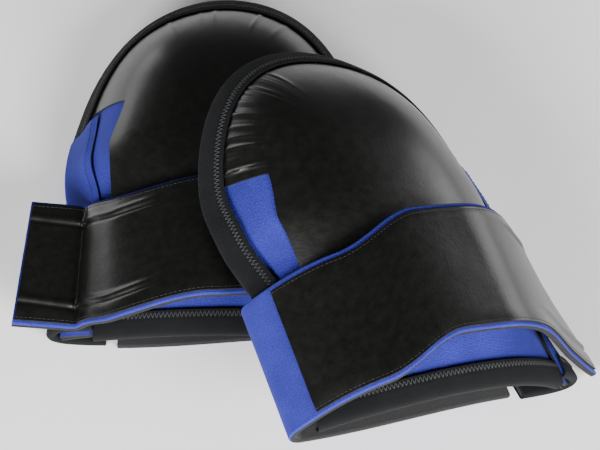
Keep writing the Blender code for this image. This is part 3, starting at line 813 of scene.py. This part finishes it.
# ---- the vinyl cover --------------------------------------------------------------------------
NOTCH_ACROSS = 0.486
NOTCH_TOP_INNER = 0.150
NOTCH_TOP_RIM = 0.300
VINYL_FOOT = -0.62
VINYL_REACH = 0.925


def notch_squeeze(pad, a, b):
    """Move the cover's middle columns so that the cut-out's inner edge follows its curve."""
    top, middle, foot = pad["notch_edge"]
    edge = middle + (top - middle) * smooth_step((b + 0.05) / (NOTCH_TOP_INNER + 0.05))
    edge = edge + (foot - middle) * smooth_step((-0.05 - b) / 0.45)
    inside = np.abs(a) <= NOTCH_ACROSS
    squeezed = np.where(inside, a * edge / NOTCH_ACROSS,
                        np.sign(a) * (edge + (np.abs(a) - NOTCH_ACROSS) * (VINYL_REACH - edge)
                                      / (VINYL_REACH - NOTCH_ACROSS)))
    fade = 1.0 - smooth_step((b - NOTCH_TOP_INNER) / 0.45)
    return a + (squeezed - a) * fade


def vinyl_cover(side, pad):
    """Glossy cover: all of the dome, with a cut-out at each lower side."""
    rng = np.random.default_rng(pad["seed"])
    middle = np.linspace(-NOTCH_ACROSS, NOTCH_ACROSS, 121)
    wing = np.linspace(NOTCH_ACROSS, VINYL_REACH, 41)[1:]
    across = np.concatenate([-wing[::-1], middle, wing])
    share = np.clip((np.abs(across) - NOTCH_ACROSS) / (VINYL_REACH - NOTCH_ACROSS), 0.0, 1.0)
    lowest = NOTCH_TOP_INNER + (NOTCH_TOP_RIM - NOTCH_TOP_INNER) * share
    rise = np.linspace(0.0, 1.0, 131)[:, None]
    upper_b = lowest[None, :] + (VINYL_REACH - lowest[None, :]) * rise
    lower = np.linspace(VINYL_FOOT, NOTCH_TOP_INNER, 71)[:-1]
    lower_b = np.repeat(lower[:, None], len(across), axis=1)
    b = np.concatenate([lower_b, upper_b])
    a = notch_squeeze(pad, np.repeat(across[None, :], len(b), axis=0), b)
    face = body_point(pad, a, b)
    normal = body_normal(pad, a, b)
    rows, columns = a.shape
    keep = np.ones((rows - 1, columns - 1), bool)
    keep[:len(lower), :len(wing)] = False
    keep[:len(lower), -len(wing):] = False
    lift = pucker(pad, a, b, face, rng)
    outer = face + normal * (GAP + VINYL_THICKNESS + lift)[..., None]
    inner = face + normal * (GAP + lift * 0.6)[..., None]
    faces = grid_faces(rows, columns, keep)
    return thick_sheet(side + "_vinyl", outer.reshape(-1, 3), inner.reshape(-1, 3), faces,
                       shell_uv(a, b).reshape(-1, 2), [VINYL, RUBBER, RUBBER], pad)


def pucker(pad, a, b, face, rng):
    """How far the cover stands off: slack swells and gathers that run in from the rim."""
    x = (face[..., 0] - pad["lean"] * face[..., 1]) / HALF_WIDTH_DOME
    y = (face[..., 1] - WIDEST_Y) / (PAD_LENGTH - WIDEST_Y)
    angle = np.arctan2(np.maximum(y, -0.2), x)
    radius = np.hypot(x, np.maximum(y, 0.0))
    inward = np.clip((OUTLINE - radius) * HALF_WIDTH_DOME, 0.0, 1.0)
    lift = np.zeros_like(a)
    for _ in range(pad["gathers"]):
        centre = rng.uniform(*pad["gather_arc"])
        width = rng.uniform(0.008, 0.020)
        reach = rng.uniform(0.005, 0.016)
        height = rng.uniform(0.0002, 0.0008)
        ridge = np.exp(-((angle - centre) / width) ** 2)
        start = smooth_step((inward - 0.004) / 0.012)
        fade = np.exp(-(np.maximum(inward - 0.018, 0.0) / reach) ** 2)
        lift += ridge * start * fade * height
    slack = np.sin(a * 9.0 + 1.3) * np.sin(b * 7.0 + pad["seed"]) * 0.0003
    return lift + slack * smooth_step(inward / 0.02) + 0.0003


# ---- side wing --------------------------------------------------------------------------------
def wing_faces(pad, stations):
    """Inner and outer face points of the wing for body stations along its side."""
    across = np.linspace(WING_INNER_ACROSS, -0.93, 20)
    a, b = np.meshgrid(across, stations, indexing="xy")
    foot_share = smooth_step(-stations)
    clearance = WING_CLEARANCE_TOP + (WING_CLEARANCE_FOOT - WING_CLEARANCE_TOP) * foot_share
    bulge = WING_BULGE_TOP + (WING_BULGE_FOOT - WING_BULGE_TOP) * foot_share
    side = body_point(pad, a, b) + body_normal(pad, a, b) * clearance[:, None, None]
    edge = side[:, -1]
    floor_z = np.full(len(edge), WING_FLOOR_Z + WING_THICKNESS)
    out_x = edge[:, 0] - bulge
    drop = np.stack([out_x, edge[:, 1], (edge[:, 2] + floor_z) / 2.0], axis=1)
    corner = np.stack([out_x, edge[:, 1], floor_z], axis=1)
    finish = np.stack([edge[:, 0] + WING_FLOOR_REACH, edge[:, 1], floor_z], axis=1)
    t = np.linspace(0.0, 1.0, 26)[1:][None, :, None]
    under = edge[:, None] * (1 - t) ** 3 + drop[:, None] * 3 * (1 - t) ** 2 * t
    under = under + corner[:, None] * 3 * (1 - t) * t * t + finish[:, None] * t ** 3
    path = np.concatenate([side, under], axis=1)
    run = np.gradient(path, axis=1)
    normal = unit(np.stack([run[..., 2], np.zeros(run.shape[:2]), -run[..., 0]], axis=-1))
    return path, normal


def side_wing(side, pad):
    """Blue wing, its foot tape and the seam that holds it to the body."""
    stations = np.linspace(WING_FOOT, WING_TOP, 80)
    path, normal = wing_faces(pad, stations)
    ease = smooth_step((stations - WING_TOP + 0.065) / 0.065)[:, None, None]
    path = path - np.array([0.0, 0.004, 0.0]) * ease
    wave = 0.0007 * np.sin(stations * 21.0)[:, None, None] * np.array([1.0, 0.0, 0.0])
    fade = np.exp(-(np.arange(path.shape[1]) / 5.0) ** 2)[None, :, None]
    path = path + wave * fade
    thin = WING_THICKNESS * (1.0 - 0.72 * np.exp(-(np.arange(path.shape[1]) / 1.6) ** 2))
    outer = path + normal * thin[None, :, None]
    faces = grid_faces(*path.shape[:2])
    u = np.linspace(0.0, WING_WIDTH, path.shape[1])
    v = stations * WIDEST_Y
    uvs = np.stack(np.meshgrid(u, v), axis=-1)
    wing = thick_sheet(side + "_wing", outer.reshape(-1, 3), path.reshape(-1, 3), faces,
                       uvs.reshape(-1, 2), [BLUE, RUBBER, RUBBER], pad)
    outward(wing)
    seam = straight_stitches(side + "_wing_seam", outer[2:-2, 2], normal[2:-2, 2], 0.0032,
                             BLUE_THREAD, pad)
    distances = np.linspace(0.0115, 0.0008, 8)
    tape_stations = WING_FOOT + distances / WIDEST_Y
    tape_path, tape_normal = wing_faces(pad, tape_stations)
    top = (tape_path + tape_normal * (WING_THICKNESS + GAP + TAPE_THICKNESS + 0.0006)).transpose(1, 0, 2)
    under = (tape_path - tape_normal * (GAP + TAPE_THICKNESS + 0.0003)).transpose(1, 0, 2)[:, ::-1]
    skin, rings = tape_rings(top, under, TAPE_THICKNESS)
    tape = tape_piece(side + "_wing_tape", skin, rings, pad)
    zigzag = zigzag_stitches(side + "_wing_zigzag", top[:, 1], top[:, 3],
                             tape_normal.transpose(1, 0, 2)[:, 2], ZIGZAG_PITCH, THREAD,
                             pad)
    return wing, seam, tape, zigzag


# ---- strap ------------------------------------------------------------------------------------
def heading(angle):
    """Unit vectors in the XZ plane."""
    return np.stack([np.cos(angle), np.sin(angle)], axis=-1)


def cubic(start, start_handle, end_handle, end, count):
    """Points of a cubic curve."""
    t = np.linspace(0.0, 1.0, count)[:, None]
    r = 1.0 - t
    return (start * r ** 3 + start_handle * 3 * r * r * t + end_handle * 3 * r * t * t
            + end * t ** 3)


def strap_sway(line, x):
    """Y of the strap's foot edge, which sways as it crosses the pad."""
    x = np.clip(x, line[0, 0], line[-1, 0])
    y = np.full(np.shape(x), line[0, 1])
    for (low_x, low_y), (high_x, high_y) in zip(line, line[1:]):
        y = y + (high_y - low_y) * smooth_step((x - low_x) / (high_x - low_x))
    return y


CORNER = 0.0035
STATION_STEP = 0.0013
PANEL_START = 0.0215
BEND_STATIONS = 14


def raw_paths(pad, shares):
    """Outer face of the strap as XZ pairs: stations by shares of the strap's width."""
    centre = np.array((STRAP_FLAT_END_X, STRAP_THICKNESS + STRAP_FOLD_RADIUS))
    sweep = STRAP_FOLD_END_ANGLE + math.pi / 2.0
    turn = -math.pi / 2.0 + sweep * np.linspace(0.0, 1.0, 40)
    arc = centre + heading(turn) * (STRAP_FOLD_RADIUS + STRAP_THICKNESS)
    start = arc[-1]
    leaving = heading(STRAP_FOLD_END_ANGLE + math.pi / 2.0)
    arriving = heading(pad["crease_direction"])
    apex, crease = pad["apex"], pad["crease"]
    climb_handle = np.linalg.norm(start - apex) * pad["climb_handle"]
    fall_handle = np.linalg.norm(crease - apex) * FALL_HANDLE
    level = np.array((1.0, 0.0))
    climb = cubic(start, start + leaving * climb_handle, apex + level * climb_handle, apex, 80)
    fall = cubic(apex, apex - level * fall_handle, crease - arriving * fall_handle, crease, 91)
    ramp = smooth_step((np.arange(91) - 30) / 60.0)[:, None, None]
    far = np.linalg.norm(fall - crease, axis=1) > CORNER * 1.15
    offset = pad["twist"] * shares[:, None]
    fall = (fall[:, None] + offset[None] * ramp)[far]
    level_part = np.repeat(np.concatenate([arc, climb[1:]])[:, None], len(shares), axis=1)
    creases = crease + offset
    spread = pad["tab_thigh_direction"] - pad["tab_direction"]
    leave = heading(pad["tab_direction"] + spread * shares)
    t = np.linspace(0.0, 1.0, 16)[:, None, None]
    before = (creases - arriving * CORNER)[None]
    after = (creases + leave * CORNER)[None]
    bend = before * (1 - t) ** 2 + creases[None] * 2 * (1 - t) * t + after * t * t
    length = TAB_LENGTH + (pad["tab_thigh_length"] - TAB_LENGTH) * shares
    along = np.linspace(CORNER / TAB_LENGTH, 1.0, 40)[1:, None, None]
    tab = creases[None] + leave[None] * (along * length[None, :, None])
    return np.concatenate([level_part, fall[1:], bend, tab])


class Strap:
    """The strap's outer face, sampled evenly from under the leg to the tip."""

    def __init__(self, pad):
        self.pad = pad
        guide = raw_paths(pad, np.array([0.0]))[:, 0]
        flat = np.column_stack([guide, np.zeros(len(guide))])
        self.places = even_stations(flat, STATION_STEP)
        self.run = np.arange(len(self.places)) * STATION_STEP
        self.foot_path = self.paths(np.array([0.0]))[:, 0]

    def paths(self, shares):
        """Stations by shares."""
        raw = raw_paths(self.pad, shares)
        grid = np.arange(len(raw))
        low = np.clip(np.floor(self.places).astype(int), 0, len(grid) - 2)
        rest = (self.places - low)[:, None, None]
        return raw[low] * (1.0 - rest) + raw[low + 1] * rest

    def points(self, across, depth):
        """Points and outward directions at distances from the foot edge and depths."""
        across = np.asarray(across, float)
        path = self.paths(np.clip(across / STRAP_WIDTH, 0.0, 1.0))
        run = unit(np.gradient(path, axis=0))
        normal = np.stack([run[..., 1], -run[..., 0]], axis=-1)
        depth = np.broadcast_to(depth, path.shape[:2])
        spot = path - normal * depth[..., None]
        y = strap_sway(self.pad["strap_line"], path[..., 0]) + across[None, :]
        ups = np.stack([normal[..., 0], np.zeros(path.shape[:2]), normal[..., 1]], axis=-1)
        return np.stack([spot[..., 0], y, spot[..., 1]], axis=-1), ups

    def nearest(self, point):
        """Station nearest an XZ place on the foot edge."""
        return int(np.argmin(np.linalg.norm(self.foot_path - point, axis=1)))


def strap_profile():
    """Distances from the foot edge, depths and materials round the band's section."""
    edge = 0.0016
    flat = np.linspace(edge, STRAP_WIDTH - edge, 21)
    turn = np.linspace(0.0, math.pi / 2.0, 5)[1:]
    across = np.concatenate([flat, STRAP_WIDTH - edge + edge * np.sin(turn),
                             STRAP_WIDTH - edge + edge * np.cos(turn)])
    depth = np.concatenate([flat * 0.0, edge * (1.0 - np.cos(turn)),
                            STRAP_THICKNESS - edge + edge * np.sin(turn)])
    across = np.concatenate([across, STRAP_WIDTH - across])
    depth = np.concatenate([depth, STRAP_THICKNESS - depth])
    middle = (depth + np.roll(depth, -1)) / 2.0
    kinds = np.where(middle < 0.0013, 0, np.where(middle < STRAP_THICKNESS - 0.0004, 1, 2))
    return across, depth, kinds


def band(name, pad, rings, run):
    """A stretch of the strap's neoprene band."""
    across, depth, kinds = strap_profile()
    uvs = np.stack(np.broadcast_arrays(run[:, None], (across + depth)[None, :]), axis=-1)
    return outward(swept_ring(name, rings, uvs, [BLUE, RUBBER, LINING], list(kinds), pad))


def panel_relief(pad, run, across, crease_run):
    """Relief of the strap's vinyl: soft swells and the sewn lines of the hook strips beneath."""
    w = across[None, :]
    s = run[:, None]
    edge = np.minimum(w - pad["margins"][0], STRAP_WIDTH - pad["margins"][1] - w)
    swell = 0.0006 * (1.0 - np.exp(-(edge / 0.004) ** 2))
    swell = swell + 0.0003 * np.sin(s * 46.0 + w * 30.0) * np.minimum(edge / 0.01, 1.0)
    sewn = 0.0
    reach = smooth_step((s - crease_run + pad["sewn_reach"]) / 0.022)
    for line in pad["sewn_lines"]:
        drift = line + 0.0014 * np.sin(s * 40.0 + line * 90.0)
        groove = np.exp(-((w - drift) / 0.0013) ** 2)
        ridge = np.exp(-((w - drift - 0.0036) / 0.0024) ** 2)
        sewn = sewn + (0.0010 * ridge - 0.0007 * groove) * reach
    dent = np.exp(-((s - crease_run) / 0.0035) ** 2) * 0.0010 * pad["crease_dent"]
    return swell + sewn - np.minimum(dent, swell + sewn + 0.0009)


def strap(side, pad):
    """The whole strap: back, wrap, flap and tab, with vinyl, hooks and stitches."""
    sheet = Strap(pad)
    run = sheet.run
    last_station = len(run) - 1
    peel = (np.array(joint(side + "_strap_peel")["pos_m"]) - pad["origin"]) @ pad["turn"]
    peel[0] *= pad["hand"]
    at_peel = sheet.nearest(peel[[0, 2]])
    at_crease = sheet.nearest(pad["crease"])
    fold_end = STRAP_FOLD_RADIUS + STRAP_THICKNESS
    fold_end = fold_end * (STRAP_FOLD_END_ANGLE + math.pi / 2.0)
    at_panel = int((fold_end + PANEL_START) / STATION_STEP)
    cuts = {
        "wrap": (0, at_peel - BEND_STATIONS),
        "flap": (at_peel - BEND_STATIONS, (at_peel + at_crease) // 2),
        "tab": ((at_peel + at_crease) // 2, last_station),
    }
    profile_across, profile_depth, _ = strap_profile()
    rings, _ = sheet.points(profile_across, profile_depth[None, :])
    across = np.linspace(pad["margins"][0], STRAP_WIDTH - pad["margins"][1], 100)
    relief = panel_relief(pad, run, across, run[at_crease])
    face, ups = sheet.points(across, -(GAP + VINYL_THICKNESS + relief))
    under, _ = sheet.points(across, np.full(relief.shape, -0.0001))
    uvs = np.stack(np.broadcast_arrays(run[:, None], across[None, :]), axis=-1)
    pieces = {}
    for part, (first, last) in cuts.items():
        cut = slice(first, last + 1)
        neoprene = band(f"{side}_{part}_band", pad, rings[cut], run[cut])
        low = max(first, at_panel)
        high = last + 1 if part != "tab" else last
        vinyl_cut = slice(low, high)
        shape = (high - low, len(across))
        vinyl = thick_sheet(f"{side}_{part}_vinyl", face[vinyl_cut].reshape(-1, 3),
                            under[vinyl_cut].reshape(-1, 3), grid_faces(*shape),
                            uvs[vinyl_cut].reshape(-1, 2), [VINYL, RUBBER, RUBBER], pad)
        outward(vinyl)
        seams = []
        for label, column in (("low", 2), ("high", -3)):
            seams.append(straight_stitches(f"{side}_{part}_stitch_{label}",
                                           face[vinyl_cut][:, column], ups[vinyl_cut][:, column],
                                           SEAM_PITCH, PANEL_THREAD, pad, 0.00022, 0.00012))
        pieces[part] = [neoprene, vinyl, *seams]
    flat_x = np.linspace(pad["back_start"], STRAP_FLAT_END_X, 60)
    back_y = strap_sway(pad["back_line"], flat_x)
    rings_back = np.stack([np.broadcast_to(flat_x[:, None], (60, len(profile_across))),
                           back_y[:, None] + profile_across[None, :],
                           np.broadcast_to(profile_depth[None, :], (60, len(profile_across)))], -1)
    pieces["back"] = [band(side + "_back_band", pad, rings_back, flat_x - flat_x[0])]
    hook_low = (STRAP_WIDTH - HOOK_WIDTH) / 2.0
    hook_across = np.linspace(hook_low, hook_low + HOOK_WIDTH, 30)
    hook_top, _ = sheet.points(hook_across, STRAP_THICKNESS + 0.0001)
    hook_under, _ = sheet.points(hook_across, STRAP_THICKNESS + 0.0001 + HOOK_THICKNESS)
    hook_uvs = np.stack(np.broadcast_arrays(run[:, None], hook_across[None, :]), axis=-1)
    spans = {"flap_hooks": (at_peel + 12, at_crease - 12),
             "tab_hooks": (at_crease + 7, last_station - 4)}
    for part, (first, last) in spans.items():
        cut = slice(first, last)
        piece = thick_sheet(f"{side}_{part}", hook_top[cut].reshape(-1, 3),
                            hook_under[cut].reshape(-1, 3), grid_faces(last - first, 30),
                            hook_uvs[cut].reshape(-1, 2), [HOOKS], pad)
        pieces[part] = [outward(piece)]
    middle = rings[:, 10]
    far = sheet.points(np.array([0.0, STRAP_WIDTH]), 0.0)[0]
    lengths = {part: float(run[last] - run[first]) for part, (first, last) in cuts.items()}
    lengths["back"] = float(flat_x[-1] - flat_x[0])
    lengths["panel_start"] = float(run[at_panel] - run[0])
    lines = {
        "peel": (middle[at_peel - BEND_STATIONS], middle[at_peel + BEND_STATIONS]),
        "crease": (far[at_crease - 5].mean(axis=0), far[at_crease + 5].mean(axis=0)),
    }
    return pieces, lines, lengths


def ride_all(pieces, body):
    """Let pieces move with a body."""
    for piece in pieces:
        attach(piece, body)


def stands_for(side, pieces):
    """Hide the CAD node of each name, so that the piece built for it shows in its place."""
    for node, piece in pieces.items():
        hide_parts(f"{side}_{node}")


def build_pad(side, pad):
    """Every visible piece of one pad."""
    fixed = side + "_pad"
    body, lining, foam = padded_shell(side, pad)
    vinyl = vinyl_cover(side, pad)
    rim = rim_tape(side, pad)
    foot = foot_tape(side, pad)
    wing, seam, wing_tape, wing_zigzag = side_wing(side, pad)
    ride_all([body, lining, foam, vinyl, *rim, *foot, wing, seam, wing_tape, wing_zigzag], fixed)
    stands_for(side, {"body": body, "lining": lining, "foam_core": foam, "vinyl_cover": vinyl,
                      "rim_binding": rim[0], "foot_binding": foot[0], "side_wing": wing,
                      "wing_binding": wing_tape})

    pieces, lines, lengths = strap(side, pad)
    ride_all(pieces["back"] + pieces["wrap"], fixed)

    for part, line, before, after in (("flap", "peel", "_pad", "_flap"),
                                      ("tab", "crease", "_flap", "_tab")):
        start, end = (tuple(map(float, place(pad, point))) for point in lines[line])
        for piece in pieces[part]:
            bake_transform(piece)
    ride_all(pieces["flap_hooks"], side + "_flap")
    ride_all(pieces["tab_hooks"], side + "_tab")
    wrap, wrap_panel = pieces["wrap"][:2]
    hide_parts(side + "_strap_fold", side + "_strap_front")
    stands_for(side, {"strap_back": pieces["back"][0], "front_panel": wrap_panel,
                      "strap_flap": pieces["flap"][0], "flap_panel": pieces["flap"][1],
                      "strap_tab": pieces["tab"][0], "tab_panel": pieces["tab"][1],
                      "flap_hook_strip": pieces["flap_hooks"][0],
                      "tab_hook_strip": pieces["tab_hooks"][0]})


for side_name, pad_facts in PADS.items():
    build_pad(side_name, pad_facts)


# ---- floor, light and camera ------------------------------------------------------------------
def floor():
    """Plain pale floor."""
    look = Look("pale_floor")
    tone = look.noise(6.0, 2.0)
    colour = look.ramp(tone, [(0.2, (0.90, 0.90, 0.90, 1)), (0.8, (0.93, 0.93, 0.93, 1))])
    look.link(colour, look.shader.inputs["Base Color"])
    look.set(Roughness=0.9, Specular_IOR_Level=0.1)
    size = 6.0
    corners = [(-size, -size, 0.0), (size, -size, 0.0), (size, size, 0.0), (-size, size, 0.0)]
    piece = make_object("floor", np.array(corners), [(0, 1, 2, 3)], np.array(corners)[:, :2],
                        [look.material])
    piece.location.z = -0.0006


def area_light(name, position, target, size, power, size_y=None):
    """A soft rectangular light aimed at a point."""
    data = bpy.data.lights.new(name, "AREA")
    data.shape = "RECTANGLE"
    data.size = size
    data.size_y = size_y or size
    data.energy = power
    lamp = bpy.data.objects.new(name, data)
    lamp.location = position
    direction = Vector(target) - Vector(position)
    lamp.rotation_euler = direction.to_track_quat("-Z", "Y").to_euler()
    bpy.context.scene.collection.objects.link(lamp)


def world(strength):
    """Even pale surroundings."""
    scene_world = bpy.data.worlds.new("pale_surroundings")
    scene_world.use_nodes = True
    background = scene_world.node_tree.nodes["Background"]
    background.inputs["Color"].default_value = (1.0, 1.0, 1.0, 1.0)
    background.inputs["Strength"].default_value = strength
    bpy.context.scene.world = scene_world


def camera():
    """The view of the object from the foot side, well above it."""
    elevation = math.radians(58.09)
    distance = 1.3226
    target = Vector((-0.0022, -0.0024, 0.03))
    forward = Vector((0.0, math.cos(elevation), -math.sin(elevation)))
    data = bpy.data.cameras.new("camera")
    data.sensor_width = 36.0
    data.lens = 114.8
    view = bpy.data.objects.new("camera", data)
    view.location = target - forward * distance
    view.rotation_euler = forward.to_track_quat("-Z", "Y").to_euler()
    bpy.context.scene.collection.objects.link(view)
    bpy.context.scene.camera = view


floor()
world(0.07)
area_light("front_left", (-1.3, -2.4, 1.25), (0.0, 0.0, 0.0), 1.3, 190.0)
area_light("front_right", (1.5, -2.2, 1.35), (0.0, 0.0, 0.0), 1.3, 190.0)
area_light("right_flank", (1.25, 0.75, 0.42), (0.1, -0.05, 0.05), 0.9, 6.0, 0.55)
area_light("left_flank", (-1.2, 1.25, 0.35), (-0.1, 0.05, 0.05), 1.3, 5.0, 0.45)
camera()
